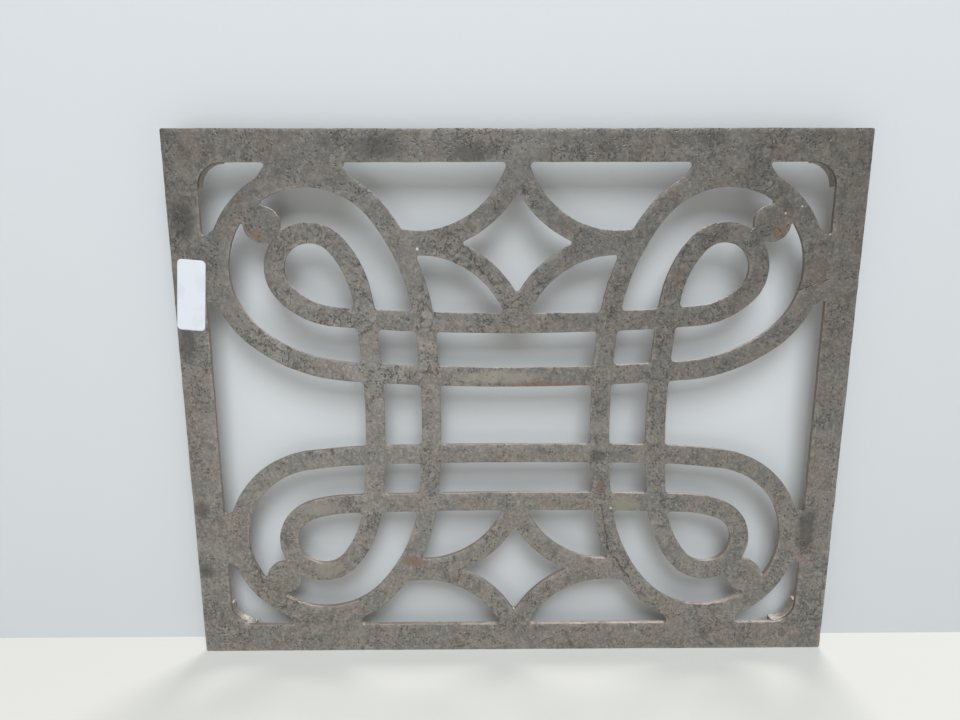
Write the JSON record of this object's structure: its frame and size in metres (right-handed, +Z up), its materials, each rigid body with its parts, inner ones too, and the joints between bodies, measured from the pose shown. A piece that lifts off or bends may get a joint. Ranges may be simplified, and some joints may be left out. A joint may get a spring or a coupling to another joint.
{
  "type": "cast-iron air grille",
  "caption": "Flat rectangular cast-iron air grille with a plain border, open interlaced strapwork, corner lugs on its back and a blank stock label.",
  "frame": {"origin": "centre of the plate, in the plane of its flat back, which is the seat", "axes": "+X across the plate to the right as seen from the front, +Z up it, -Y out of its face, +Y out of its back"},
  "size_m": [0.3048, 0.0071, 0.2478],
  "materials": {
    "cast_iron": "bare grey cast iron, dull and weathered, with fine pits, cold shuts and traces of rust",
    "label_paper": "matt white paper"
  },
  "bodies": {
    "root": {"grille_plate": "cast_iron", "corner_lug_upper_left": "cast_iron", "corner_lug_upper_right": "cast_iron", "corner_lug_lower_left": "cast_iron", "corner_lug_lower_right": "cast_iron", "stock_label": "label_paper"}
  },
  "joints": []
}
